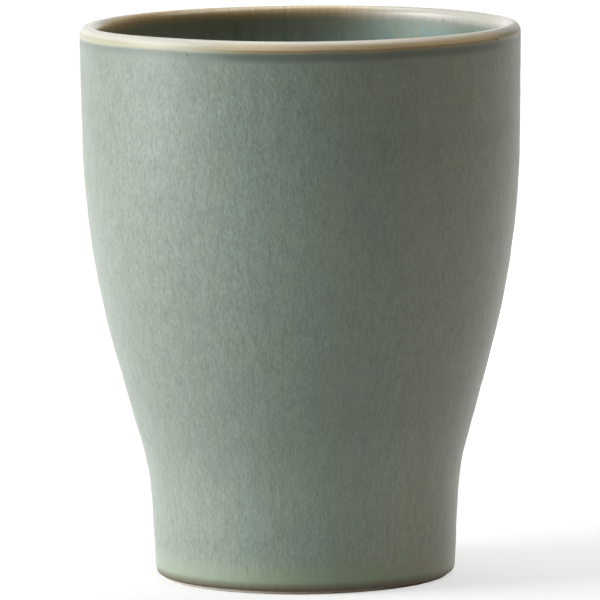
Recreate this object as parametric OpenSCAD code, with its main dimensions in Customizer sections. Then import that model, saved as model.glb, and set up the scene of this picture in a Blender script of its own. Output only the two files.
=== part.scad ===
// Brush pot: a flared stoneware pot with a full-round lip and a waisted foot.
// The fired clay and the glaze coats on it are separate solids of their real thickness.
// Every outline is a function of the depth below the finished surface: 0 is the glaze's face,
// glaze_t is the clay under it. Sizes are in millimetres and the pot stands on z = 0.

/* [Outline] */
// Height from the table to the top of the lip
height = 120; // [100:0.5:180]
// Outside diameter at the lip
rim_d = 95.2; // [94:0.1:130]
// Outside diameter where the cone and the collar would meet
shoulder_d = 93.8; // [76:0.1:95]
// Height where the cone and the collar would meet
shoulder_z = 71.6; // [50:0.1:95]
// Radius that rounds the cone into the collar
belly_r = 190; // [40:1:260]
// Outside diameter where the foot wall and the cone would meet
waist_d = 67.1; // [65:0.1:85]
// Height where the foot wall and the cone would meet
waist_z = 23; // [16:0.1:40]
// Radius that rounds the foot wall into the cone
waist_r = 52; // [10:1:80]
// Outside diameter of the foot wall, carried down to the table
foot_d = 64.8; // [50:0.1:66]

/* [Wall] */
// Thickness of the wall, glaze to glaze
wall = 3.8; // [2.6:0.1:6]
// Thickness of the floor, from the recess under it to the well's glaze
floor_t = 5; // [3:0.1:10]
// Radius that rounds the well's wall into its floor
floor_r = 8; // [2:0.5:16]

/* [Foot] */
// Radius of the glazed bottom edge
edge_r = 1.8; // [1.5:0.1:5]
// Height of the bare clay under the glaze line
bare_h = 0.6; // [0.5:0.1:3]
// How far round the bottom edge the glaze reaches, in degrees below level
wipe_angle = 70; // [30:1:85]
// Width of the bare ring that the pot stands on
ring_w = 4; // [2:0.1:8]
// Chamfer on both edges of the bare ring
ring_chamfer = 0.3; // [0.1:0.05:0.45]
// Depth of the recess inside the bare ring
recess_h = 2; // [1:0.1:5]
// Width of the sloping side of the recess
recess_slope = 1.2; // [0.2:0.1:4]

/* [Glaze] */
// Thickness of every glaze coat
glaze_t = 0.5; // [0.2:0.05:0.9]
// How far the rim coat reaches below the lip's rounding, outside
rim_drop_out = 0.9; // [0.3:0.1:6]
// How far the rim coat reaches below the lip's rounding, inside
rim_drop_in = 1.3; // [0.3:0.1:6]
// Bare margin round the glaze in the recess
base_margin = 1; // [0.2:0.1:5]

/* [Hidden] */

// Longest straight step and largest turn between two points of an arc
arc_step = 3;
arc_turn = 8;
// Points closer than this count as one
least_gap = 0.001;
// Circles are drawn with this many sides
$fn = 180;

// Directions on a wall that leans outward by a degrees: out of its face, and up along it
function out(a) = [cos(a), -sin(a)];
function up(a) = [sin(a), cos(a)];

// Points of an arc round c, from facing a0 to facing a1; a negative r faces the other way
function arc(c, r, a0, a1) =
    let (turn = abs(a1 - a0))
    let (steps = max(1, ceil(abs(r) * turn * PI / 180 / arc_step), ceil(turn / arc_turn)))
    [for (i = [0:steps]) c + r * out(a0 + (a1 - a0) * i / steps)];

// Rounding of the corner between two straight runs, given by how far the run below and the run
// above it lean. The radius is positive where the outline bulges and negative where it hollows,
// and no larger than the room along the two runs allows.
function round_r(r, below, above, room) =
    sign(below - above) * min(r, room / tan(abs(below - above) / 2));
function round_run(r, below, above) = r * tan((below - above) / 2);
function round_c(corner, r, below, above) =
    corner - round_run(r, below, above) * up(below) - r * out(below);

function reversed(points) = [for (i = [len(points) - 1:-1:0]) points[i]];

// The points without those that repeat the one before them
function distinct(points) =
    [for (i = [0:len(points) - 1]) if (i == 0 || norm(points[i] - points[i - 1]) > least_gap) points[i]];

// Corners of the outline before rounding, and how far each straight run leans
rim_corner = [rim_d / 2, height];
shoulder_corner = [shoulder_d / 2, shoulder_z];
waist_corner = [waist_d / 2, waist_z];
collar_lean = atan2(rim_corner.x - shoulder_corner.x, height - shoulder_z);
cone_lean = atan2(shoulder_corner.x - waist_corner.x, shoulder_z - waist_z);
foot_lean = atan2((waist_d - foot_d) / 2, waist_z);

// Lip, a full round on the wall
lip_r = wall / 2;
lip_c = [rim_corner.x - lip_r / cos(collar_lean) - lip_r * tan(collar_lean), height - lip_r];

// Glazed bottom edge, which ends at the top of the bare clay
edge_z = bare_h + edge_r * sin(wipe_angle);
edge_c = [foot_d / 2 + edge_z * tan(foot_lean) - edge_r / cos(foot_lean), edge_z];

// Well: its floor, and the rounding between floor and wall, which ends halfway up to the waist at most
floor_z = recess_h + floor_t;
floor_fit = min(floor_r, (waist_z - floor_z) / 2);
floor_c_z = floor_z + floor_fit;
floor_c = [foot_d / 2 + floor_c_z * tan(foot_lean) - (wall + floor_fit) / cos(foot_lean), floor_c_z];

// Room along the foot wall above the roundings at its ends, along the cone, and along the collar
foot_room = min((waist_corner - edge_c) * up(foot_lean), (waist_corner - floor_c) * up(foot_lean));
cone_len = norm(shoulder_corner - waist_corner);
collar_room = (lip_c - shoulder_corner) * up(collar_lean) - max(rim_drop_out, rim_drop_in);

// Waist and belly roundings
waist_fit = round_r(waist_r, foot_lean, cone_lean, min(foot_room, cone_len / 2));
waist_c = round_c(waist_corner, waist_fit, foot_lean, cone_lean);
cone_room = cone_len - round_run(waist_fit, foot_lean, cone_lean);
belly_fit = round_r(belly_r, cone_lean, collar_lean, min(cone_room, collar_room));
belly_c = round_c(shoulder_corner, belly_fit, cone_lean, collar_lean);

// Bare ring under the foot, and the recess inside it
ring_out_r = edge_c.x + (edge_r - glaze_t) * cos(wipe_angle);
ring_in_r = ring_out_r - ring_w;
recess_r = ring_in_r - recess_slope;

// Outlines at depth d below the finished surface, from the foot up over the lip to the well's floor
function foot_edge(d) = arc(edge_c, edge_r - d, wipe_angle, foot_lean);
function edge_top(d) = edge_c + (edge_r - d) * out(foot_lean);
function rim_end_out(d) = lip_c - rim_drop_out * up(collar_lean) + (lip_r - d) * out(collar_lean);
function rim_end_in(d) = lip_c - rim_drop_in * up(collar_lean) - (lip_r - d) * out(collar_lean);
function outer_wall(d) = concat(
    [edge_top(d)],
    arc(waist_c, waist_fit - d, foot_lean, cone_lean),
    arc(belly_c, belly_fit - d, cone_lean, collar_lean),
    [rim_end_out(d)]);
function rim(d) = concat(
    [rim_end_out(d)],
    arc(lip_c, lip_r - d, collar_lean, collar_lean - 180),
    [rim_end_in(d)]);
function well(d) = concat(
    [rim_end_in(d)],
    arc(belly_c, belly_fit - wall + d, collar_lean, cone_lean),
    arc(waist_c, waist_fit - wall + d, cone_lean, foot_lean),
    arc(floor_c, floor_fit + d, foot_lean, 90),
    [[0, floor_z - d]]);

// A glaze coat between its finished face and the clay under it
module coat(face, clay) {
    rotate_extrude() polygon(distinct(concat(face, reversed(clay))));
}

module stoneware_body() {
    underside = [
        [0, recess_h],
        [recess_r, recess_h],
        [ring_in_r, ring_chamfer],
        [ring_in_r + ring_chamfer, 0],
        [ring_out_r - ring_chamfer, 0],
        [ring_out_r, ring_chamfer]];
    glazed = concat(foot_edge(glaze_t), outer_wall(glaze_t), rim(glaze_t), well(glaze_t));
    color("#d9cdb4") rotate_extrude() polygon(distinct(concat(underside, glazed)));
}

module outer_glaze() {
    color("#84907f") coat(outer_wall(0), outer_wall(glaze_t));
}

module rim_glaze() {
    color("#cfc3a4") coat(rim(0), rim(glaze_t));
}

module inner_glaze() {
    color("#74867e") coat(well(0), well(glaze_t));
}

module foot_edge_glaze() {
    color("#6d6450") coat(foot_edge(0), foot_edge(glaze_t));
}

// Glaze left in the recess, inside a margin wiped clean with the ring
module base_glaze() {
    base_r = recess_r - base_margin;
    color("#84907f")
        translate([0, 0, recess_h - glaze_t])
            cylinder(r1 = base_r - glaze_t, r2 = base_r, h = glaze_t);
}

stoneware_body();
outer_glaze();
rim_glaze();
inner_glaze();
foot_edge_glaze();
base_glaze();
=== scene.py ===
"""Looks of the glazed brush pot, in metres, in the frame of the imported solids.

Each solid is replaced by a finely turned mesh that follows the solid's own rings, with the small
unevenness of a thrown and glazed pot. The pot stands on a white studio floor.

Two measures place things on the glaze, in millimetres: the run, from the crest of the lip along the
surface, positive outside and negative inside, and the height above the glaze's lower end. Sideways
goes from -1 at the left of the pot to 1 at its right.
"""
import math

import bpy
import numpy as np
from mathutils import Matrix, Vector


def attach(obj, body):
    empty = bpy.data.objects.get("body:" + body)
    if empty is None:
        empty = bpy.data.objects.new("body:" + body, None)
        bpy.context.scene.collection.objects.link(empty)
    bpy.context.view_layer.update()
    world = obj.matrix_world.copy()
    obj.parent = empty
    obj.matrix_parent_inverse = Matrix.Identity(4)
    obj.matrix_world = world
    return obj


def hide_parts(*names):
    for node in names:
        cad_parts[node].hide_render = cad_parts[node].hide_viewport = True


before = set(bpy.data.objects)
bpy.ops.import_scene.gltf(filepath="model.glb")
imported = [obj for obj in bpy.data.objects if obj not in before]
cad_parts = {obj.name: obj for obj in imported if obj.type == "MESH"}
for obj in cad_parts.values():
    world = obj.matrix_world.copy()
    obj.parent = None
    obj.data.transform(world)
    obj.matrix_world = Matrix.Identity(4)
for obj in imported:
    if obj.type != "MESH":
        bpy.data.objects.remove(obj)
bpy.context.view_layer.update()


def tint(red, green, blue):
    """A colour written as on a screen, 0 to 255, as linear numbers by the screen's standard curve."""
    def linear(level):
        s = level / 255
        return s / 12.92 if s <= 0.04045 else ((s + 0.055) / 1.055) ** 2.4
    return (linear(red), linear(green), linear(blue), 1.0)


# Meshes, in millimetres
MM = 0.001
SAME_RING = 0.003  # rings of two solids closer than this are the same ring
SAME_DIGITS = 4  # decimals that points are rounded to before that
FACETS = 384  # steps round the pot
TURN = np.arange(FACETS) * 2 * math.pi / FACETS
COATS = ("foot_edge_glaze", "outer_glaze", "rim_glaze", "inner_glaze")
ROW_STEP = {"foot_edge_glaze": 0.16, "outer_glaze": 1.0, "rim_glaze": 0.16, "inner_glaze": 1.2}
FINE_STEP = 0.3  # row step near both ends of a long coat
FINE_REACH = 7.0  # how far from an end it goes
LONG_COAT = 4 * FINE_REACH
FLOOR_STEP = 1.0  # row step across the floor of the well
AXIS_GAP = 0.6  # no row of that floor comes closer to the axis
MIDDLE_RADIUS = 1.0  # innermost row under the foot
SHARP_EDGE = math.radians(35)
EASED_SHARE = 0.45  # the rounding of a corner takes no more of the lines beside it
EASED_POINTS = 5

# Unevenness of the glaze, in millimetres; a fade is where it starts and where it ends
LUMP_WAVES = 24  # waves that add up to the lumps
LUMP_WIDTHS = (0.7, 1.4)  # narrowest and widest lump, as a share of the usual one
RING_PITCH = 7.5  # throwing rings
RING_DEPTH_OUTSIDE = 0.018
RING_DEPTH_INSIDE = 0.05
RING_SWAY = 0.8  # how far a ring strays, in radians
RING_SWAY_RUN = 23  # run for each radian of that swing
RINGS_FROM_LIP = (5, 16)
LIP_WIDTH = (-2.0, 2.0)  # run over which the inside becomes the outside
BROAD_LUMPS = {"depth": 0.03, "seed": 5, "across": 14, "radius": 42}
FINE_LUMPS = {"depth": 0.012, "seed": 9, "across": 5, "radius": 42}
LUMPS_FROM_LIP = (1, 8)
RELIEF_FROM_AXIS = (0, 6)
RELIEF_FROM_END = (0, 3)
TUCK = 0.08  # how far the glaze is drawn in at its lower end
TUCK_FADE = (-0.2, 0.6)
BEAD = 0.12  # fullness just above that end
BEAD_HEIGHT = 0.9
BEAD_SPREAD = 0.6
LOWER_END = {"reach": 0.12, "seed": 31, "waves": 14}  # how that end strays up and down
LOWER_END_DROP = 0.05  # how far it lies below the solid's
LOWER_END_FADE = (0, 2.2)
OVAL = ((2, 0.10, 0.6), (3, 0.05, 2.0))  # waves round the rim: count, depth, start in radians
OVAL_HEIGHTS = (8, 60)  # heights over which they grow
RIM_RISE = 0.28  # how much higher the rim stands at the front left
RIM_RISE_TURN = math.radians(-132)  # anticlockwise from the right, seen from above
RIM_RISE_SPREAD = math.radians(30)
RIM_RISE_FADE = (14, 3)  # distance from the crest

# Bare clay under the foot, in millimetres
CLAY_EASE = 0.35  # rounding of its edges
CLAY_STEP = 0.35  # row step
TURNING_PITCH = 0.95  # turning marks
TURNING_DEPTH = 0.012
CLAY_LUMPS = {"depth": 0.02, "seed": 3, "across": 4, "radius": 28}
TURNING_FROM_AXIS = (4, 12)

# Pool of glaze under the foot, in millimetres
POOL_EASE = 0.4  # rounding of its edge
POOL_STEP = 0.8  # row step
POOL_BULGE = 0.12  # fullness just inside the edge
POOL_BULGE_INSET = 1.4
POOL_BULGE_SPREAD = 1.1
POOL_LUMPS = {"depth": 0.04, "seed": 17, "across": 9, "radius": 14}
POOL_LUMPS_FROM_AXIS = (2, 8)
POOL_EDGE = {"reach": 0.35, "seed": 23, "waves": 9}  # how the edge strays in and out
POOL_EDGE_WIDTH = 6  # how far inwards that is felt
POOL_EDGE_INSET = 0.2  # how far it lies inside the solid's

# Colours as they look on a screen under plain light
SAGE = tint(141, 157, 144)
TEAL = tint(138, 156, 146)
OLIVE = tint(145, 157, 140)
# Olive for the right: partly the glaze's own hue, partly a painted warm fill light
WARM_OLIVE = tint(147, 155, 133)
# Greyer sage for a painted sheen on the left of the wall
PAINTED_SHEEN_SAGE = tint(144, 156, 145)
PALE_GREEN = tint(159, 182, 151)
PALE_SAGE = tint(167, 181, 161)
PALE_KHAKI = tint(166, 169, 149)
# Lit copies of teal and olive: painted light on the right inside the pot and on the lip's inner side
PAINTED_LIGHT_TEAL = tint(150, 178, 170)
PAINTED_LIGHT_OLIVE = tint(150, 160, 142)
CREAM = tint(232, 227, 212)
PALE_CREAM = tint(213, 211, 200)
TAN = tint(236, 217, 180)
KHAKI = tint(188, 185, 162)
KHAKI_GREY = tint(170, 176, 164)
BROWN = tint(170, 148, 107)
INNER_BROWN = tint(190, 170, 133)
DARK_BROWN = tint(158, 140, 108)
GREY_OLIVE = tint(152, 149, 128)
# Shaded olive: painted shade inside the pot under the lip
PAINTED_SHADE_OLIVE = tint(116, 120, 107)
DARK_TAUPE = tint(96, 82, 62)
TAUPE = tint(118, 112, 94)
PIT_DARK = tint(62, 52, 40)
CLAY_CREAM = tint(252, 246, 232)
CLAY_TOAST = tint(242, 230, 208)
CLAY_GRAIN = tint(218, 202, 174)
WHITE = (1, 1, 1, 1)

# Zones of the lip by run: where the glaze broke to brown, and where painted light washes it pale
BROKEN_LIP = (
    # Painted shade inside, under the lip
    (-5.0, PAINTED_SHADE_OLIVE),
    (-3.9, PAINTED_SHADE_OLIVE),
    (-2.7, DARK_BROWN),
    (-1.4, INNER_BROWN),
    (-0.5, TAN),
    (0.1, CREAM),
    (1.4, CREAM),
    (2.2, TAN),
    (2.85, TAN),
    (3.1, BROWN),
    (3.3, BROWN),
    (3.6, GREY_OLIVE),
)
# Painted light and a painted sheen of the key lamp: pale outside on the left and at the right end, and
# inside on the right
PAINTED_LIGHT_LIP = (
    (-5.8, PAINTED_LIGHT_TEAL),
    (-3.9, KHAKI_GREY),
    (-2.6, PALE_CREAM),
    (2.0, PALE_CREAM),
    (2.7, KHAKI),
    (3.3, KHAKI),
    (3.9, KHAKI_GREY),
)
# Zones of the dark line at the foot by height above the glaze's end
FOOT_LINE = (
    (0.0, DARK_TAUPE),
    (0.6, DARK_TAUPE),
    (1.4, TAUPE),
    (3.2, PALE_GREEN),
)
# Zones of the pale band above that line, sideways
FOOT_BAND = (
    (-0.7, PALE_SAGE),
    (0.0, PALE_GREEN),
    (0.45, PALE_GREEN),
    (0.8, PALE_KHAKI),
)
# Pits in the glaze: degrees round from the front by the right, run, half width and half height
PITS = (
    (-30.2, 4.35, 0.24, 0.24),
    (61.2, 3.15, 0.80, 0.22),
    (134.0, -3.4, 0.24, 0.24),
)

# Noises of the glaze: stretch along the run, shift, size of a lump in millimetres, detail
WALL_RADIUS = 44.0  # radius at which the noises have that size
HUE_NOISE = (2.4, 37.0, 8.0, 2.0)
CLOUD_NOISE = (1.7, 19.0, 15.0, 2.0)
DARK_SPECK_NOISE = (2.6, 0.0, 0.36, 0.0)
PALE_SPECK_NOISE = (2.6, 71.0, 0.36, 0.0)
DASH_NOISE = (2.8, 7.0, 0.75, 1.0)
BROAD_NOISE = (3.0, 13.0, 2.0, 2.0)
STREAK_NOISE = (14.0, 53.0, 1.0, 2.0)
DRIP_NOISE = (16.0, 53.0, 1.9, 1.0)
LIP_NOISE_SIZE = 11.0

# Fades below are where they start and end and, unless it is 0 and 1, what they give at each end. The
# remark beside a fade says what it goes by; swings are in millimetres or in shares of the light.

# Colour of the wall
TEAL_TO_SAGE = (0.36, 0.62)  # hue noise
OLIVE_CLOUDS = (0.50, 0.72, 0.0, 0.5)  # cloud noise
# Olive on the right: partly the glaze's own hue, partly a painted warm fill light
OLIVE_AND_WARM_FILL_RIGHT = (0.2, 0.8, 0.0, 0.55)  # sideways
# Painted sheen and painted light of the key lamp on the left of the wall: greyer, and lighter further
# down
PAINTED_SHEEN_LEFT = (-0.8, -0.1, 1.0, 0.0)  # sideways
PAINTED_LIGHT_LEFT = (10.0, 55.0, 1.0, 1.07)  # run
# Lighter towards the foot at the front and right: partly the glaze's own paler foot, partly painted fill
# light
WALL_LIGHT = 0.97
PALER_LOW = (80.0, 106.0)  # run
PALER_FRONT = (-0.3, 0.3, 0.12, 0.32)  # sideways
PALER_RIGHT = (0.6, 0.95, 1.0, 0.3)  # sideways
BAND_RAGGED = 6.0  # swing of the pale band's edge
BAND_FADE = (3.5, 9.0, 0.85, 0.0)  # height above the end, with that swing
DASHES_RAGGED = 1.6  # further swing of the place where the dashes end
DASHES_FROM_FOOT = (3.0, 7.5)  # height above the end, with both swings
DASHES_FROM_LIP = (3.5, 8.0)  # distance from the crest
DARK_SPECKS = (0.50, 0.66, 0.0, -0.12)  # dark speck noise
PALE_SPECKS = (0.50, 0.66, 0.0, 0.10)  # pale speck noise
DASH_SHADE = 0.38  # swing between dark and light
BROAD_SHADE = 0.28  # the same
LINE_RAGGED = 0.5  # swing of the dark line's zones
LINE_FADE = (2.0, 3.2)  # height above the end
PIT_EDGE = (0.4, 1.1, 0.85, 0.0)  # distance from the pit's middle, in its half sizes

# Colour inside the pot
INSIDE_FADE = (-6.0, -2.5, 1.0, 0.0)  # run
# Painted light on the right of the inner wall, where the key lamp reaches, and painted shade elsewhere
# inside
INNER_PAINTED_LIGHT_RIGHT = (0.1, 0.6)  # sideways
INNER_PAINTED_LIGHT_HIGH = (-30.0, -8.0, 0.2, 1.0)  # run
INNER_PAINTED_SHADE = 0.72
INNER_DRIPS = (0.44, 0.60, 0.0, 0.7)  # drip noise
INNER_DRIP_PAINTED_SHADE = 0.7
INNER_DRIP_SHADE = 0.5  # swing between dark and light
INNER_DEEP_LIGHT = (-15.0, -6.0, 1.35, 1.0)  # run

# Colour of the lip; its wavy run is the run with the swings of its zones
REVERSED = (0.0, 1.0, 1.0, 0.0)  # share that is turned into the rest
OUTSIDE_FADE = (-0.5, 0.5)  # run
LIP_DRIFT = 0.5  # slow swing round the lip
LIP_RAGGED_INSIDE = 1.3  # swing with the streaks
LIP_RAGGED_OUTSIDE = 0.14  # swing with the dashes
LIP_LEFT_END = (-1.0, -0.75, 1.5, 0.0)  # sideways
LIP_TILT = (0.2, 0.6, 0.0, 0.15)  # sideways
# Where painted light and a painted sheen wash out the lip's brown break
LIP_PAINTED_SHEEN_LEFT = (-0.5, -0.15)  # sideways
LIP_PAINTED_LIGHT_RIGHT_END = (0.80, 0.97, 1.0, 0.0)  # sideways
LIP_PAINTED_LIGHT_INSIDE = (0.12, 0.6, 1.0, 0.0)  # sideways
LIP_INNER = (-4.8, -3.2, 1.0, 0.0)  # run
LIP_DRIPS = (0.46, 0.62, 0.0, 0.7)  # drip noise
LIP_DRIP_SHADE = 0.4  # swing between dark and light
# Painted shade on the lip's inner side towards the right end
LIP_DIM_RIGHT = (0.65, 0.85, 0.0, -0.2)  # sideways
LIP_OUTER_END = (3.4, 4.1, 1.0, 0.0)  # wavy run
LIP_INNER_END = (-8.0, -5.4)  # wavy run
# A darker stretch under the lip: partly the glaze's own, partly painted shade under the lip's edge; it
# is weaker where painted light washes the lip pale
UNDER_LIP_FROM = (3.1, 3.8)  # wavy run, for a darker stretch under the lip
UNDER_LIP_UNTIL = (4.3, 6.4, 1.0, 0.0)  # wavy run
UNDER_LIP_STRENGTH = (0.0, 1.0, 0.4, 1.0)  # how far the lip broke to brown
UNDER_LIP_LIGHT = (0.0, 1.0, 1.0, 0.54)  # strength of that stretch

# Surface of the glaze
SPECK_RELIEF = 0.45  # share of the specks in the relief
DASH_RELIEF = 0.55  # share of the dashes
RELIEF_SHARE = (0.0, 1.0, 0.05, 1.0)  # how streaky the glaze is
RELIEF_DEPTH = 0.07
GLOSS_SHIFT = 0.8  # the lip is glossiest this far inside its crest
LIP_ROUGHNESS = (0.9, 1.9, 0.22, 0.38)  # distance from there
FOOT_ROUGHNESS = (0.8, 2.0, 0.3, 0.0)  # height above the end
CERAMIC_IOR = 1.5

# Looks of the bare clay; the grain has a size, a detail and a roughness
GRAIN_NOISE = (0.25, 3.0, 0.7)
GRAIN_FADE = (0.58, 0.72, 0.0, 0.4)  # grain noise
PATCH_SIZE = 6.0
TOASTED = (0.42, 0.70, 0.0, 0.5)  # patch noise
# Painted shade on the bare clay beside the glaze, on the right, away from the key lamp
CLAY_PAINTED_SHADE_RIGHT = (0.4, 0.7, 0.0, 0.85)  # sideways
CLAY_PAINTED_SHADE_FROM = 0.4  # from the glaze's edge inwards
CLAY_PAINTED_SHADE_FULL = 0.15
CLAY_ROUGHNESS = 0.85
CLAY_RELIEF = 0.04

# Looks of the pool under the foot
POOL_CLOUD_SIZE = 8.0
POOL_SPECK_SIZE = 0.6
POOL_TEAL_TO_SAGE = (0.30, 0.70)  # cloud noise
POOL_RAGGED = 3.0  # swing of the zones at its edge
POOL_PALE_FROM = 7.0  # from the edge inwards, as the next ones
POOL_PALE_FULL = 1.5
POOL_RIM_FROM = 1.2
POOL_RIM_FULL = 0.4
POOL_PALE = 0.8  # how far the pale zone covers what is under it
POOL_SPECK_SHADE = 0.25  # swing between dark and light
POOL_ROUGHNESS = 0.25
POOL_RELIEF = 0.02

# Floor, light and camera, in metres and degrees
POT_MIDDLE = Vector((0, 0, 0.06))
FLOOR_REACH = 3.0
FLOOR_WHITE = (0.535, 0.535, 0.535, 1)
# The floor's own light by the distance from the axis, as the camera and as reflections see it; it is
# less beside the pot, where the shadow shows
FLOOR_GLOW = (0.12, 0.5, 0.6, 1.0)
FLOOR_GLOSS = (0.08, 0.6, 0.73, 1.0)
# Azimuths go from the camera's side round by the right
ROOM_DARK = (0.0, 0.0, 0.0, 1)
ROOM_WARM = (0.247, 0.174, 0.069, 1)
WARM_SIDE = {"azimuth": 60, "elevation": 8}
WARM_SPREAD = (0.5, 0.92)  # cosine of the angle from there
# The white wall behind the pot, which only reflections see, by how far a way points back and up
BACK_WALL_SIDES = (0.78, 0.96)
BACK_WALL_TOP = (0.18, 0.45, 1.0, 0.0)
SOFT_BOXES = {
    "key": {
        "azimuth": -79, "elevation": 21.5, "distance": 0.8,
        "width": 0.5, "height": 0.6, "level": 8.5,
    },
    "overhead": {
        "azimuth": 150, "elevation": 73, "distance": 0.8,
        "width": 1.0, "height": 0.5, "level": 2.6,
    },
    "rim": {
        "azimuth": -140, "elevation": 8, "distance": 1.2,
        "width": 0.8, "height": 0.5, "level": 0.15,
    },
}
CAMERA_LENS = 503.6  # in millimetres, as the sensor
CAMERA_SENSOR = 36.0
CAMERA_PLACE = (0.0, -1.807, 0.276)
CAMERA_TARGET = (-0.00063, 0.0, 0.0598)
CAMERA_ROLL = -0.582


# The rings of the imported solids

def merged(points):
    """Points that lie together as one: the distinct points and, for each given point, which it is."""
    near, kind = np.unique(points.round(SAME_DIGITS), axis=0, return_inverse=True)
    gaps = np.linalg.norm(near[:, None] - near[None, :], axis=2)
    first = np.argmax(gaps < SAME_RING, axis=1)
    kept, order = np.unique(first, return_inverse=True)
    return near[kept], order[kind.ravel()]


def section(node):
    """The rings that a turned solid is made of, as radius and height, in order round its section."""
    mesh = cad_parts[node].data
    at = np.empty(len(mesh.vertices) * 3)
    mesh.vertices.foreach_get("co", at)
    at = at.reshape(-1, 3) / MM
    rings, ring_of = merged(np.column_stack((np.hypot(at[:, 0], at[:, 1]), at[:, 2])))
    ends = np.empty(len(mesh.edges) * 2, dtype=int)
    mesh.edges.foreach_get("vertices", ends)
    beside = [set() for _ in rings]
    for a, b in np.unique(ring_of[ends.reshape(-1, 2)], axis=0):
        if a != b:
            beside[a].add(b)
            beside[b].add(a)
    here = next((i for i, near in enumerate(beside) if len(near) == 1), 0)
    walk = [here]
    while True:
        onward = [i for i in beside[here] if i not in walk]
        if not onward:
            return rings[walk]
        here = onward[0]
        walk.append(here)


def distance(points, line):
    """How far each point lies from a line of straight pieces."""
    along = np.diff(line, axis=0)
    share = ((points[:, None] - line[:-1]) * along).sum(axis=2) / (along ** 2).sum(axis=1)
    nearest = line[:-1] + np.clip(share, 0, 1)[:, :, None] * along
    return np.linalg.norm(points[:, None] - nearest, axis=2).min(axis=1)


def split_coat(node, clay):
    """A coat's section in two: its open face and the side that lies on the clay."""
    rings = section(node)
    hidden = distance(rings, clay) < SAME_RING
    if hidden[0] == hidden[-1]:
        start = np.flatnonzero(hidden & ~np.roll(hidden, -1))[0] + 1
        rings = np.roll(rings, -start, axis=0)
        hidden = np.roll(hidden, -start)
    return rings[~hidden], rings[hidden]


def joined(faces):
    """The coats' faces as one line from the foot up the outside, over the lip and down inside."""
    line = faces[0] if faces[0][0, 1] < faces[0][-1, 1] else faces[0][::-1]
    ends = [0]
    for face in faces[1:]:
        ends.append(len(line) - 1)
        if np.linalg.norm(face[0] - line[-1]) > SAME_RING:
            face = face[::-1]
        line = np.vstack((line, face[1:]))
    ends.append(len(line) - 1)
    return line, ends


class Curve:
    """A smooth line through points, followed by its length."""

    def __init__(self, points):
        self.points = points
        steps = np.linalg.norm(np.diff(points, axis=0), axis=1)
        self.marks = np.concatenate(([0.0], np.cumsum(steps)))
        self.slopes = np.gradient(points, self.marks, axis=0)

    def at(self, mark):
        """Points and unit directions at the given lengths."""
        i = np.clip(np.searchsorted(self.marks, mark, side="right") - 1, 0, len(self.marks) - 2)
        span = (self.marks[i + 1] - self.marks[i])[:, None]
        u = (mark - self.marks[i])[:, None] / span
        a, b = self.points[i], self.points[i + 1]
        p, q = self.slopes[i] * span, self.slopes[i + 1] * span
        bend = 2 * (a - b) + p + q
        lean = 3 * (b - a) - 2 * p - q
        heading = (3 * bend * u + 2 * lean) * u + p
        return ((bend * u + lean) * u + p) * u + a, heading / np.linalg.norm(heading, axis=1)[:, None]


def even_marks(start, end, step):
    """Lengths from start to end, evenly spaced and at most a step apart."""
    return np.linspace(start, end, max(2, math.ceil((end - start) / step) + 1))


def row_marks(start, end, step):
    """Lengths for the rows of a face: its step, and finer near both ends of a long face."""
    if end - start < LONG_COAT:
        return even_marks(start, end, step)
    low, high = start + FINE_REACH, end - FINE_REACH
    return np.concatenate((
        even_marks(start, low, FINE_STEP),
        even_marks(low, high, step)[1:-1],
        even_marks(high, end, FINE_STEP),
    ))


# Unevenness of a hand made pot

def smooth_step(value, start, end):
    """Goes smoothly from 0 to 1 as the value goes from start to end."""
    u = np.clip((value - start) / (end - start), 0, 1)
    return u * u * (3 - 2 * u)


def hump(value, middle, spread):
    """A smooth hump of height 1 round a middle."""
    return np.exp(-((value - middle) / spread) ** 2)


def wander(turn, reach, seed, waves):
    """A line that strays by up to reach to both sides on its way round and meets itself."""
    dice = np.random.default_rng(seed)
    total = np.zeros_like(turn)
    for count in range(1, waves + 1):
        height = dice.normal()
        start = dice.uniform(0, 2 * math.pi)
        total = total + height * np.cos(count * turn + start) / math.sqrt(count)
    return reach * (total / np.abs(total).max())


def lumps(run, turn, depth, seed, across, radius):
    """Soft irregular bumps of about the given depth and width that meet without a seam all round."""
    dice = np.random.default_rng(seed)
    total = np.zeros(np.broadcast(run, turn).shape)
    for _ in range(LUMP_WAVES):
        way = dice.uniform(0, math.pi)
        pitch = 2 * math.pi / (across * dice.uniform(*LUMP_WIDTHS))
        turns = round(pitch * math.cos(way) * radius)
        start = dice.uniform(0, 2 * math.pi)
        total = total + np.cos(turns * turn + pitch * math.sin(way) * run + start)
    return depth * (total / math.sqrt(LUMP_WAVES))


# Meshes

def lathe(name, rows, strips, caps, runs):
    """A mesh of rings: strips join two rows, caps close a row with a point on the axis."""
    count = len(rows)
    points = rows.reshape(-1, 3)
    k = np.arange(FACETS)
    k_next = (k + 1) % FACETS
    faces = []
    for a, b in strips:
        low, high = a * FACETS, b * FACETS
        quads = np.column_stack((low + k, low + k_next, high + k_next, high + k))
        faces.extend(quads.tolist())
    middles = []
    middle_runs = []
    for row, height, upward in caps:
        middle = count * FACETS + len(middles)
        middles.append((0.0, 0.0, height))
        middle_runs.append(runs[row])
        first, second = (k, k_next) if upward else (k_next, k)
        fan = np.column_stack((row * FACETS + first, row * FACETS + second, np.full(FACETS, middle)))
        faces.extend(fan.tolist())
    if middles:
        points = np.vstack((points, middles))
    mesh = bpy.data.meshes.new(name)
    mesh.from_pydata((points * MM).tolist(), [], faces)
    mesh.polygons.foreach_set("use_smooth", [True] * len(mesh.polygons))
    mesh.set_sharp_from_angle(angle=SHARP_EDGE)
    run_of = mesh.attributes.new("run", "FLOAT", "POINT")
    run_of.data.foreach_set("value", np.concatenate((np.repeat(runs, FACETS), middle_runs)))
    mesh.validate()
    piece = bpy.data.objects.new(name, mesh)
    bpy.context.collection.objects.link(piece)
    return piece


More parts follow.
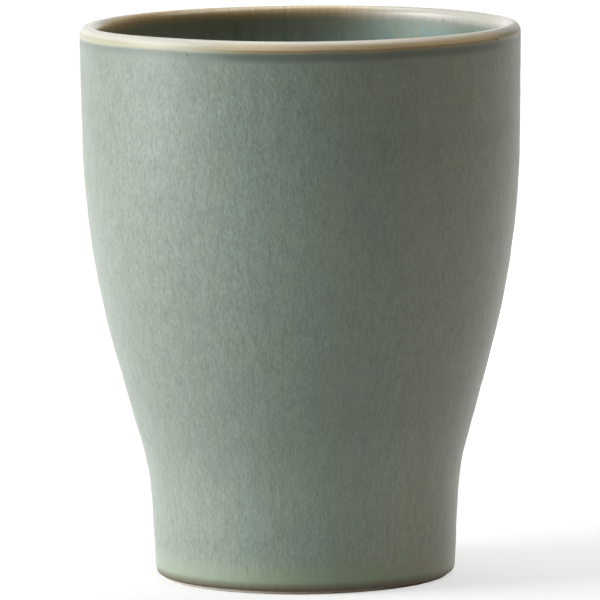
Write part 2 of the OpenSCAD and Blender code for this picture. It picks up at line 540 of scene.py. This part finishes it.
def spun(radius, height):
    """Rows of points round the axis; radius and height are per row, or per row and turn."""
    radius, height = np.broadcast_arrays(radius, height)
    if radius.shape[1] == 1:
        radius = np.repeat(radius, FACETS, axis=1)
        height = np.repeat(height, FACETS, axis=1)
    return np.stack((radius * np.cos(TURN), radius * np.sin(TURN), height), axis=2)


clay_rings = section("stoneware_body")
coat_sides = {name: split_coat(name, clay_rings) for name in COATS}
skin_line, coat_ends = joined([coat_sides[name][0] for name in COATS])
skin_line = np.vstack((skin_line, (0.0, skin_line[-1, 1])))
skin = Curve(skin_line)
lip_mark = skin.marks[np.argmax(skin_line[:, 1])]  # length from the glaze's lower end to the crest


def glaze_relief(run, turn):
    """How far the glaze stands off its even face, in millimetres."""
    outside = smooth_step(run, *LIP_WIDTH)
    sway = RING_SWAY * np.sin(run / RING_SWAY_RUN)
    rings = np.sin(2 * math.pi * run / RING_PITCH + turn + sway)
    ring_depth = RING_DEPTH_OUTSIDE * outside + RING_DEPTH_INSIDE * (1 - outside)
    thrown = rings * ring_depth * smooth_step(np.abs(run), *RINGS_FROM_LIP)
    soft = lumps(run, turn, **BROAD_LUMPS) + lumps(run, turn, **FINE_LUMPS)
    return thrown + soft * smooth_step(np.abs(run), *LUMPS_FROM_LIP)


def rim_rise(run):
    """How much higher the rim stands than the solid's, at each row and turn."""
    from_middle = np.angle(np.exp(1j * (TURN - RIM_RISE_TURN)))
    around = hump(from_middle, 0, RIM_RISE_SPREAD)[None, :]
    return RIM_RISE * around * smooth_step(np.abs(run), *RIM_RISE_FADE)


def glaze_rows(marks):
    """Radius and height of the glazed face at each row and turn."""
    at, heading = skin.at(marks)
    run = (lip_mark - marks)[:, None]
    above_end = marks[:, None]
    off = glaze_relief(run, TURN[None, :])
    off = off * smooth_step(at[:, :1], *RELIEF_FROM_AXIS) * smooth_step(above_end, *RELIEF_FROM_END)
    off = off - TUCK * (1 - smooth_step(above_end, *TUCK_FADE))
    off = off + BEAD * hump(above_end, BEAD_HEIGHT, BEAD_SPREAD)
    slip = wander(TURN, **LOWER_END)[None, :] - LOWER_END_DROP
    slip = slip * (1 - smooth_step(above_end, *LOWER_END_FADE))
    oval = sum(depth * np.cos(count * TURN + start) for count, depth, start in OVAL)
    oval = oval[None, :] * smooth_step(at[:, 1:], *OVAL_HEIGHTS)
    radius = at[:, :1] + heading[:, 1:] * off + heading[:, :1] * slip + oval
    height = at[:, 1:] - heading[:, :1] * off + heading[:, 1:] * slip + rim_rise(run)
    return radius, height


def finished(piece, node):
    """Hands a piece over: it moves with the pot and stands for its node, which is hidden."""
    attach(piece, "root")
    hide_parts(node)
    return piece


def make_coat(name, start, end):
    """One coat: its face in fine rows, closed by the side that lies on the clay."""
    marks = row_marks(start, end, ROW_STEP[name])
    to_axis = name == COATS[-1]
    if to_axis:
        floor_marks = np.arange(end + FLOOR_STEP, skin.marks[-1] - AXIS_GAP, FLOOR_STEP)
        marks = np.concatenate((marks, floor_marks))
    face = spun(*glaze_rows(marks))
    back = coat_sides[name][1]
    last = skin_line[np.searchsorted(skin.marks, end)]
    if np.linalg.norm(back[0] - last) > np.linalg.norm(back[-1] - last):
        back = back[::-1]
    rows = np.concatenate((face, spun(back[:, :1], back[:, 1:])))
    runs = np.concatenate((lip_mark - marks, np.full(len(back), lip_mark - start)))
    strips = [(i, i + 1) for i in range(len(rows) - 1)] + [(len(rows) - 1, 0)]
    caps = []
    if to_axis:
        inner = len(face) - 1
        strips.remove((inner, inner + 1))
        caps = [(inner, skin_line[-1, 1], True), (inner + 1, back[0, 1], False)]
    return finished(lathe("turned_" + name, rows, strips, caps, runs), name)


def eased(points, reach):
    """The line with each corner rounded off from reach before it to reach after it."""
    line = [points[0]]
    for before, corner, after in zip(points, points[1:], points[2:]):
        back, ahead = before - corner, after - corner
        start = corner + back * min(EASED_SHARE, reach / np.linalg.norm(back))
        end = corner + ahead * min(EASED_SHARE, reach / np.linalg.norm(ahead))
        for u in np.linspace(0, 1, EASED_POINTS):
            line.append((1 - u) ** 2 * start + 2 * u * (1 - u) * corner + u * u * end)
    line.append(points[-1])
    return np.array(line)


def stepped(points, step):
    """The line with more points along its straight stretches, about a step apart, and its directions."""
    line = [points[:1]]
    for a, b in zip(points, points[1:]):
        count = max(1, round(np.linalg.norm(b - a) / step))
        line.append(a + (b - a) * (np.arange(1, count + 1) / count)[:, None])
    line = np.vstack(line)
    heading = np.gradient(line, axis=0)
    return line, heading / np.linalg.norm(heading, axis=1)[:, None]


def make_clay():
    """The clay: its bare foot in fine rows with eased edges and turning marks, then the hidden wall."""
    rings = clay_rings if clay_rings[0, 1] < clay_rings[-1, 1] else clay_rings[::-1]
    covered = coat_sides["foot_edge_glaze"][1]
    lowest = covered[np.argmin(covered[:, 1])]
    first = int(np.argmin(np.linalg.norm(rings - lowest, axis=1)))
    bare = eased(np.vstack(((MIDDLE_RADIUS, rings[0, 1]), rings[:first + 1])), CLAY_EASE)
    bare, heading = stepped(bare, CLAY_STEP)
    along = np.arange(len(bare))[:, None] * CLAY_STEP
    marks = TURNING_DEPTH * np.sin(2 * math.pi * along / TURNING_PITCH + TURN)
    marks = marks + lumps(along, TURN[None, :], **CLAY_LUMPS)
    marks = marks * smooth_step(bare[:, :1], *TURNING_FROM_AXIS)
    marks[-1] = 0
    height = np.maximum(bare[:, 1:] - heading[:, :1] * marks, 0)
    foot = spun(bare[:, :1] + heading[:, 1:] * marks, height)
    wall = rings[first + 1:]
    rows = np.concatenate((foot, spun(wall[:, :1], wall[:, 1:])))
    strips = [(i, i + 1) for i in range(len(rows) - 1)]
    caps = [(0, rings[0, 1], False), (len(rows) - 1, rings[-1, 1], True)]
    body = lathe("turned_stoneware_body", rows, strips, caps, np.zeros(len(rows)))
    return finished(body, "stoneware_body")


def make_base_glaze():
    """The pool of glaze under the foot: a wavering edge, thicker just inside it, and a soft face."""
    low, high = sorted(section("base_glaze").tolist(), key=lambda ring: ring[1])
    edge = low[0]
    face, heading = stepped(eased(np.array([(MIDDLE_RADIUS, low[1]), low, high]), POOL_EASE), POOL_STEP)
    radius = face[:, :1]
    bulge = POOL_BULGE * hump(radius, edge - POOL_BULGE_INSET, POOL_BULGE_SPREAD)
    soft = lumps(radius, TURN[None, :], **POOL_LUMPS)
    off = bulge + soft * smooth_step(radius, *POOL_LUMPS_FROM_AXIS)
    off[-1] = 0
    stray = wander(TURN, **POOL_EDGE)[None, :] * smooth_step(radius, edge - POOL_EDGE_WIDTH, edge)
    stray = stray - POOL_EDGE_INSET
    rows = spun(radius + heading[:, 1:] * off + stray, face[:, 1:] - heading[:, :1] * off)
    strips = [(i, i + 1) for i in range(len(rows) - 1)]
    caps = [(0, low[1], False), (len(rows) - 1, high[1], True)]
    pool = lathe("turned_base_glaze", rows, strips, caps, np.zeros(len(rows)))
    return finished(pool, "base_glaze")


coat_pieces = []
for i, name in enumerate(COATS):
    start, end = skin.marks[coat_ends[i]], skin.marks[coat_ends[i + 1]]
    coat_pieces.append(make_coat(name, start, end))
clay_piece = make_clay()
base_piece = make_base_glaze()


# Shader nodes

class Graph:
    """Adds nodes to one tree; each method but add gives the socket that carries its result."""

    def __init__(self, tree):
        self.tree = tree
        tree.nodes.clear()

    def add(self, kind, inputs, **settings):
        """A new node; an input is a plain value or another node's socket."""
        node = self.tree.nodes.new(kind)
        for name, value in settings.items():
            setattr(node, name, value)
        for key, value in inputs.items():
            if isinstance(value, bpy.types.NodeSocket):
                self.tree.links.new(value, node.inputs[key])
            else:
                node.inputs[key].default_value = value
        return node

    def math(self, operation, a, b=0.0):
        """Arithmetic on plain numbers."""
        return self.add("ShaderNodeMath", {0: a, 1: b}, operation=operation).outputs[0]

    def plus(self, a, b):
        """The sum of two numbers."""
        return self.math("ADD", a, b)

    def times(self, a, b):
        """The product of two numbers."""
        return self.math("MULTIPLY", a, b)

    def vector(self, operation, a, b=(0, 0, 0)):
        """Arithmetic on places or directions."""
        return self.add("ShaderNodeVectorMath", {0: a, 1: b}, operation=operation).outputs[0]

    def level(self, a):
        """A place without its height."""
        return self.vector("MULTIPLY", a, (1, 1, 0))

    def length(self, a):
        """How far a place is from the origin."""
        return self.add("ShaderNodeVectorMath", {0: a}, operation="LENGTH").outputs["Value"]

    def fade(self, value, start, end, low=0.0, high=1.0):
        """Goes smoothly from low to high as the value goes from start to end."""
        ends = {"Value": value, "From Min": start, "From Max": end, "To Min": low, "To Max": high}
        return self.add("ShaderNodeMapRange", ends, interpolation_type="SMOOTHSTEP").outputs[0]

    def mix(self, share, a, b, blend="MIX"):
        """From a to b by a share."""
        node = self.add("ShaderNodeMix", {0: share, 6: a, 7: b}, data_type="RGBA", blend_type=blend)
        return node.outputs[2]

    def shaded(self, colour, light):
        """The colour made lighter or darker by a plain number."""
        grey = self.add("ShaderNodeCombineColor", {0: light, 1: light, 2: light}).outputs[0]
        return self.mix(1.0, colour, grey, "MULTIPLY")

    def noise(self, place, size, detail=2.0, roughness=0.5):
        """Cloudy noise from 0 to 1 with lumps of about the given size."""
        inputs = {"Vector": place, "Scale": 1 / size, "Detail": detail, "Roughness": roughness}
        return self.add("ShaderNodeTexNoise", inputs).outputs["Fac"]

    def swing(self, noise, width):
        """Noise from 0 to 1 turned into a swing of the given width, half of it to each side of zero."""
        return self.times(self.plus(noise, -0.5), width)

    def ramp(self, value, stops):
        """Colours along a value: stops are pairs of value and colour, in rising order."""
        low, high = stops[0][0], stops[-1][0]
        span = {"Value": value, "From Min": low, "From Max": high}
        share = self.add("ShaderNodeMapRange", span).outputs[0]
        node = self.add("ShaderNodeValToRGB", {"Fac": share})
        spots = node.color_ramp.elements
        spots[1].position = 1.0
        for value_at, colour in stops[1:-1]:
            spots.new((value_at - low) / (high - low)).color = colour
        spots[0].color = stops[0][1]
        spots[len(stops) - 1].color = stops[-1][1]
        return node.outputs["Color"]

    def bump(self, height, depth):
        """A normal bent by a height from 0 to 1 that stands for a depth in millimetres."""
        inputs = {"Strength": 1.0, "Distance": depth * MM, "Height": height}
        return self.add("ShaderNodeBump", inputs).outputs[0]


def new_material(name):
    """An empty material and the graph of its nodes."""
    material = bpy.data.materials.new(name)
    material.use_nodes = True
    return material, Graph(material.node_tree)


def ceramic(g, colour, roughness, normal):
    """Closes a material with a glazed or bare ceramic surface."""
    inputs = {"Base Color": colour, "Roughness": roughness, "IOR": CERAMIC_IOR, "Normal": normal}
    surface = g.add("ShaderNodeBsdfPrincipled", inputs)
    g.add("ShaderNodeOutputMaterial", {"Surface": surface.outputs[0]})


class Places:
    """Where a point lies on the pot, for the noises and zones of a material."""

    def __init__(self, g):
        self.g = g
        spot = g.add("ShaderNodeTexCoord", {}).outputs["Object"]
        way = g.vector("NORMALIZE", g.level(spot))
        self.sideways = g.add("ShaderNodeSeparateXYZ", {0: way}).outputs["X"]
        self.around = g.vector("MULTIPLY", way, (WALL_RADIUS, WALL_RADIUS, 0))
        self.run = g.add("ShaderNodeAttribute", {}, attribute_name="run").outputs["Fac"]
        self.above_end = g.math("SUBTRACT", lip_mark, self.run)

    def drawn_out(self, stretch, shift=0.0):
        """A place on the unrolled wall that is drawn out by stretch along the run."""
        along = self.g.plus(self.g.times(self.run, 1 / stretch), shift)
        lift = self.g.add("ShaderNodeCombineXYZ", {"Z": along}).outputs[0]
        return self.g.vector("ADD", self.around, lift)

    def noise(self, stretch, shift, size, detail):
        """Noise on the unrolled wall, drawn out along the run."""
        return self.g.noise(self.drawn_out(stretch, shift), size, detail)


def place_and_radius(g):
    """A point's place in millimetres, and how far it lies from the axis."""
    spot = g.add("ShaderNodeTexCoord", {}).outputs["Object"]
    place = g.vector("MULTIPLY", spot, (1 / MM, 1 / MM, 1 / MM))
    return place, g.length(g.level(place))


# Materials

def wall_colour(g, at, broad):
    """Sage with soft teal and olive clouds, lighter towards the foot and pale green just above it;
    painted light on its sides.
    """
    colour = g.mix(g.fade(at.noise(*HUE_NOISE), *TEAL_TO_SAGE), TEAL, SAGE)
    colour = g.mix(g.fade(at.noise(*CLOUD_NOISE), *OLIVE_CLOUDS), colour, OLIVE)
    # Olive on the right: partly the glaze's own hue, partly a painted warm fill light
    colour = g.mix(g.fade(at.sideways, *OLIVE_AND_WARM_FILL_RIGHT), colour, WARM_OLIVE)
    # A painted sheen and painted light on the left, where the key lamp falls: greyer, and lighter
    # further down
    left = g.shaded(PAINTED_SHEEN_SAGE, g.fade(at.run, *PAINTED_LIGHT_LEFT))
    colour = g.mix(g.fade(at.sideways, *PAINTED_SHEEN_LEFT), colour, left)
    # Lighter towards the foot at the front and right: partly the glaze's own paler foot, partly painted
    # fill light
    paler = g.times(g.fade(at.sideways, *PALER_FRONT), g.fade(at.sideways, *PALER_RIGHT))
    colour = g.shaded(colour, g.plus(g.times(g.fade(at.run, *PALER_LOW), paler), WALL_LIGHT))
    near_foot = g.fade(g.plus(at.above_end, g.swing(broad, BAND_RAGGED)), *BAND_FADE)
    return g.mix(near_foot, colour, g.ramp(at.sideways, FOOT_BAND))


def inner_colour(g, at, colour, drip):
    """The wall's colour inside: darker by painted shade, with long streaks, and painted light on the
    right in pale teal.
    """
    inside = g.fade(at.run, *INSIDE_FADE)
    # Painted light on the right, painted shade elsewhere inside
    pale = g.times(g.fade(at.sideways, *INNER_PAINTED_LIGHT_RIGHT), g.fade(at.run, *INNER_PAINTED_LIGHT_HIGH))
    deep = g.mix(pale, g.shaded(colour, INNER_PAINTED_SHADE), PAINTED_LIGHT_TEAL)
    dripped = g.mix(pale, g.shaded(OLIVE, INNER_DRIP_PAINTED_SHADE), PAINTED_LIGHT_OLIVE)
    deep = g.mix(g.fade(drip, *INNER_DRIPS), deep, dripped)
    light = g.plus(g.swing(drip, INNER_DRIP_SHADE), g.fade(at.run, *INNER_DEEP_LIGHT))
    return g.mix(inside, colour, g.shaded(deep, light))


def wavy_run(g, at, outside, dash, streak):
    """The run with the wavering that the lip's zones follow."""
    drift = g.swing(g.noise(at.around, LIP_NOISE_SIZE), LIP_DRIFT)
    ragged = g.mix(outside, g.swing(streak, LIP_RAGGED_INSIDE), g.swing(dash, LIP_RAGGED_OUTSIDE))
    left_end = g.times(g.fade(at.sideways, *LIP_LEFT_END), g.fade(outside, *REVERSED))
    tilt = g.fade(at.sideways, *LIP_TILT)
    wavy = g.plus(g.plus(at.run, left_end), g.plus(drift, ragged))
    return g.plus(wavy, g.times(outside, tilt))


def lip_zones(g, at, wavy, break_or_painted_light, drip):
    """The lip's colours, with streaks on their inner side in painted light on the right and painted
    shade elsewhere.
    """
    zones = g.mix(break_or_painted_light, g.ramp(wavy, PAINTED_LIGHT_LIP), g.ramp(wavy, BROKEN_LIP))
    inner = g.fade(at.run, *LIP_INNER)
    dripping = g.times(inner, g.fade(drip, *LIP_DRIPS))
    zones = g.mix(dripping, zones, g.mix(break_or_painted_light, PAINTED_LIGHT_OLIVE, PAINTED_SHADE_OLIVE))
    # Streaks swing lighter and darker; painted shade darkens the inner side towards the right end
    dimmer = g.plus(g.swing(drip, LIP_DRIP_SHADE), g.fade(at.sideways, *LIP_DIM_RIGHT))
    return g.shaded(zones, g.plus(g.times(inner, dimmer), 1.0))


def lip_colour(g, at, colour, dash, streak, drip):
    """The cream lip with its brown edges, washed out by painted light outside on the left and inside on
    the right.
    """
    outside = g.fade(at.run, *OUTSIDE_FADE)
    wavy = wavy_run(g, at, outside, dash, streak)
    # Painted light and a painted sheen wash out the brown outside on the left and at the right end, and
    # inside on the right
    break_or_painted_light_out = g.times(g.fade(at.sideways, *LIP_PAINTED_SHEEN_LEFT), g.fade(at.sideways, *LIP_PAINTED_LIGHT_RIGHT_END))
    break_or_painted_light = g.mix(outside, g.fade(at.sideways, *LIP_PAINTED_LIGHT_INSIDE), break_or_painted_light_out)
    # A darker stretch under the lip, partly painted shade
    shade = g.times(g.fade(wavy, *UNDER_LIP_FROM), g.fade(wavy, *UNDER_LIP_UNTIL))
    shade = g.times(shade, g.fade(break_or_painted_light, *UNDER_LIP_STRENGTH))
    colour = g.shaded(colour, g.fade(shade, *UNDER_LIP_LIGHT))
    on_lip = g.times(g.fade(wavy, *LIP_OUTER_END), g.fade(wavy, *LIP_INNER_END))
    return g.mix(on_lip, colour, lip_zones(g, at, wavy, break_or_painted_light, drip))


def foot_colour(g, at, colour, broad):
    """The dark line at the glaze's lower end."""
    wavy = g.plus(at.above_end, g.swing(broad, LINE_RAGGED))
    return g.mix(g.fade(at.above_end, *LINE_FADE), g.ramp(wavy, FOOT_LINE), colour)


def pitted(g, at, colour):
    """The few small dark pits in the glaze."""
    place = at.drawn_out(stretch=1.0)
    for degrees, run, half_width, half_height in PITS:
        way = math.radians(degrees)
        centre = (WALL_RADIUS * math.sin(way), -WALL_RADIUS * math.cos(way), run)
        half_size = (half_width, half_width, half_height)
        off = g.vector("DIVIDE", g.vector("SUBTRACT", place, centre), half_size)
        colour = g.mix(g.fade(g.length(off), *PIT_EDGE), colour, PIT_DARK)
    return colour


def glaze_material():
    """Satin celadon: sage with soft clouds and fine upright dashes, cream lip and dark foot line."""
    material, g = new_material("celadon glaze")
    at = Places(g)
    dark_speck = at.noise(*DARK_SPECK_NOISE)
    pale_speck = at.noise(*PALE_SPECK_NOISE)
    dash = at.noise(*DASH_NOISE)
    broad = at.noise(*BROAD_NOISE)
    streak = at.noise(*STREAK_NOISE)
    drip = at.noise(*DRIP_NOISE)
    ragged = g.plus(g.swing(dash, DASHES_RAGGED), g.swing(broad, BAND_RAGGED))
    low_fade = g.fade(g.plus(at.above_end, ragged), *DASHES_FROM_FOOT)
    high_fade = g.fade(g.math("ABSOLUTE", at.run), *DASHES_FROM_LIP)
    streaky = g.times(low_fade, high_fade)

    specks = g.plus(g.fade(dark_speck, *DARK_SPECKS), g.fade(pale_speck, *PALE_SPECKS))
    mottle = g.plus(specks, g.plus(g.swing(dash, DASH_SHADE), g.swing(broad, BROAD_SHADE)))
    colour = g.shaded(wall_colour(g, at, broad), g.plus(g.times(mottle, streaky), 1.0))
    colour = inner_colour(g, at, colour, drip)
    colour = lip_colour(g, at, colour, dash, streak, drip)
    colour = foot_colour(g, at, colour, broad)
    colour = pitted(g, at, colour)

    height = g.plus(g.times(dark_speck, SPECK_RELIEF), g.times(dash, DASH_RELIEF))
    normal = g.bump(g.times(height, g.fade(streaky, *RELIEF_SHARE)), RELIEF_DEPTH)
    from_gloss = g.math("ABSOLUTE", g.plus(at.run, GLOSS_SHIFT))
    roughness = g.plus(g.fade(from_gloss, *LIP_ROUGHNESS), g.fade(at.above_end, *FOOT_ROUGHNESS))
    ceramic(g, colour, roughness, normal)
    return material


def clay_material():
    """Bare cream stoneware: dry, a little toasted in places, darkened beside the glaze on the right by
    painted shade.
    """
    material, g = new_material("bare stoneware")
    at = Places(g)
    place, radius = place_and_radius(g)
    edge = coat_sides["foot_edge_glaze"][1][:, 0].min()
    grain = g.noise(place, *GRAIN_NOISE)
    patch = g.noise(place, PATCH_SIZE)
    colour = g.mix(g.fade(patch, *TOASTED), CLAY_CREAM, CLAY_TOAST)
    colour = g.mix(g.fade(grain, *GRAIN_FADE), colour, CLAY_GRAIN)
    # Painted shade beside the glaze on the right
    beside = g.fade(radius, edge - CLAY_PAINTED_SHADE_FROM, edge - CLAY_PAINTED_SHADE_FULL)
    colour = g.mix(g.times(g.fade(at.sideways, *CLAY_PAINTED_SHADE_RIGHT), beside), colour, DARK_TAUPE)
    ceramic(g, colour, CLAY_ROUGHNESS, g.bump(grain, CLAY_RELIEF))
    return material


def base_material():
    """The glaze under the foot: the same celadon, pooled and smooth, with a brown edge."""
    material, g = new_material("pooled celadon")
    place, radius = place_and_radius(g)
    edge = section("base_glaze")[:, 0].min()
    cloud = g.noise(place, POOL_CLOUD_SIZE)
    speck = g.noise(place, POOL_SPECK_SIZE)
    uneven = g.plus(radius, g.swing(cloud, POOL_RAGGED))
    pale = g.fade(uneven, edge - POOL_PALE_FROM, edge - POOL_PALE_FULL, 0.0, POOL_PALE)
    brown = g.fade(uneven, edge - POOL_RIM_FROM, edge - POOL_RIM_FULL)
    colour = g.mix(g.fade(cloud, *POOL_TEAL_TO_SAGE), TEAL, SAGE)
    colour = g.mix(pale, colour, PALE_GREEN)
    colour = g.mix(brown, colour, TAUPE)
    colour = g.shaded(colour, g.plus(g.swing(speck, POOL_SPECK_SHADE), 1.0))
    ceramic(g, colour, POOL_ROUGHNESS, g.bump(speck, POOL_RELIEF))
    return material


glaze = glaze_material()
for piece in coat_pieces:
    piece.data.materials.append(glaze)
clay_piece.data.materials.append(clay_material())
base_piece.data.materials.append(base_material())


# Floor, light and camera

def floor_material():
    """White that keeps the pot's shadow and shows white to the camera and in reflections."""
    material, g = new_material("white floor")
    path = g.add("ShaderNodeLightPath", {}).outputs
    out = g.length(g.add("ShaderNodeTexCoord", {}).outputs["Object"])
    mirror = g.math("MAXIMUM", path["Is Glossy Ray"], path["Is Transmission Ray"])
    seen = g.times(path["Is Camera Ray"], g.fade(out, *FLOOR_GLOW))
    mirrored = g.times(mirror, g.fade(out, *FLOOR_GLOSS))
    white = g.add("ShaderNodeBsdfDiffuse", {"Color": FLOOR_WHITE})
    glow = g.add("ShaderNodeEmission", {"Color": WHITE, "Strength": g.plus(seen, mirrored)})
    both = g.add("ShaderNodeAddShader", {0: white.outputs[0], 1: glow.outputs[0]})
    g.add("ShaderNodeOutputMaterial", {"Surface": both.outputs[0]})
    return material


def make_floor():
    """One flat square under the pot."""
    corners = [(x * FLOOR_REACH, y * FLOOR_REACH, 0) for x, y in ((-1, -1), (1, -1), (1, 1), (-1, 1))]
    mesh = bpy.data.meshes.new("floor")
    mesh.from_pydata(corners, [], [(0, 1, 2, 3)])
    mesh.materials.append(floor_material())
    floor = bpy.data.objects.new("floor", mesh)
    bpy.context.collection.objects.link(floor)


def way_to(azimuth, elevation):
    """The way to a place as seen from the pot."""
    a, e = math.radians(azimuth), math.radians(elevation)
    return Vector((math.sin(a) * math.cos(e), -math.cos(a) * math.cos(e), math.sin(e)))


def make_world():
    """White for the camera; round the pot a dark room, warm on the right, with a white back wall."""
    world = bpy.data.worlds.new("studio")
    world.use_nodes = True
    g = Graph(world.node_tree)
    path = g.add("ShaderNodeLightPath", {}).outputs
    way = g.add("ShaderNodeTexCoord", {}).outputs["Generated"]
    near = g.add("ShaderNodeVectorMath", {0: way, 1: way_to(**WARM_SIDE)}, operation="DOT_PRODUCT")
    room = g.mix(g.fade(near.outputs["Value"], *WARM_SPREAD), ROOM_DARK, ROOM_WARM)
    ahead = g.add("ShaderNodeSeparateXYZ", {0: way}).outputs
    wall = g.times(g.fade(ahead["Y"], *BACK_WALL_SIDES), g.fade(ahead["Z"], *BACK_WALL_TOP))
    room = g.mix(g.times(path["Is Glossy Ray"], wall), room, WHITE)
    shown = g.mix(path["Is Camera Ray"], room, WHITE)
    back = g.add("ShaderNodeBackground", {"Color": shown, "Strength": 1.0})
    g.add("ShaderNodeOutputWorld", {"Surface": back.outputs[0]})
    bpy.context.scene.world = world


def aim(thing, place, target, roll=0.0):
    """Puts a lamp or a camera at a place and turns it to a target, rolled by an angle in radians."""
    thing.location = place
    turn = (Vector(target) - Vector(place)).to_track_quat("-Z", "Y").to_matrix()
    thing.rotation_euler = (turn @ Matrix.Rotation(roll, 3, "Z")).to_euler()


def make_soft_box(name, azimuth, elevation, distance, width, height, level):
    """A flat lamp that faces the pot; its level is its brightness for each unit of its area."""
    lamp = bpy.data.lights.new(name, "AREA")
    lamp.shape = "RECTANGLE"
    lamp.size = width
    lamp.size_y = height
    lamp.energy = level * math.pi * width * height
    light = bpy.data.objects.new(name, lamp)
    bpy.context.collection.objects.link(light)
    aim(light, POT_MIDDLE + distance * way_to(azimuth, elevation), POT_MIDDLE)


def make_camera():
    """The camera at the photo's viewing angle."""
    data = bpy.data.cameras.new("camera")
    data.lens = CAMERA_LENS
    data.sensor_width = CAMERA_SENSOR
    camera = bpy.data.objects.new("camera", data)
    bpy.context.collection.objects.link(camera)
    aim(camera, CAMERA_PLACE, CAMERA_TARGET, math.radians(CAMERA_ROLL))
    bpy.context.scene.camera = camera


make_floor()
make_world()
for name, setting in SOFT_BOXES.items():
    make_soft_box(name, **setting)
make_camera()
bpy.context.scene.view_settings.view_transform = "Standard"
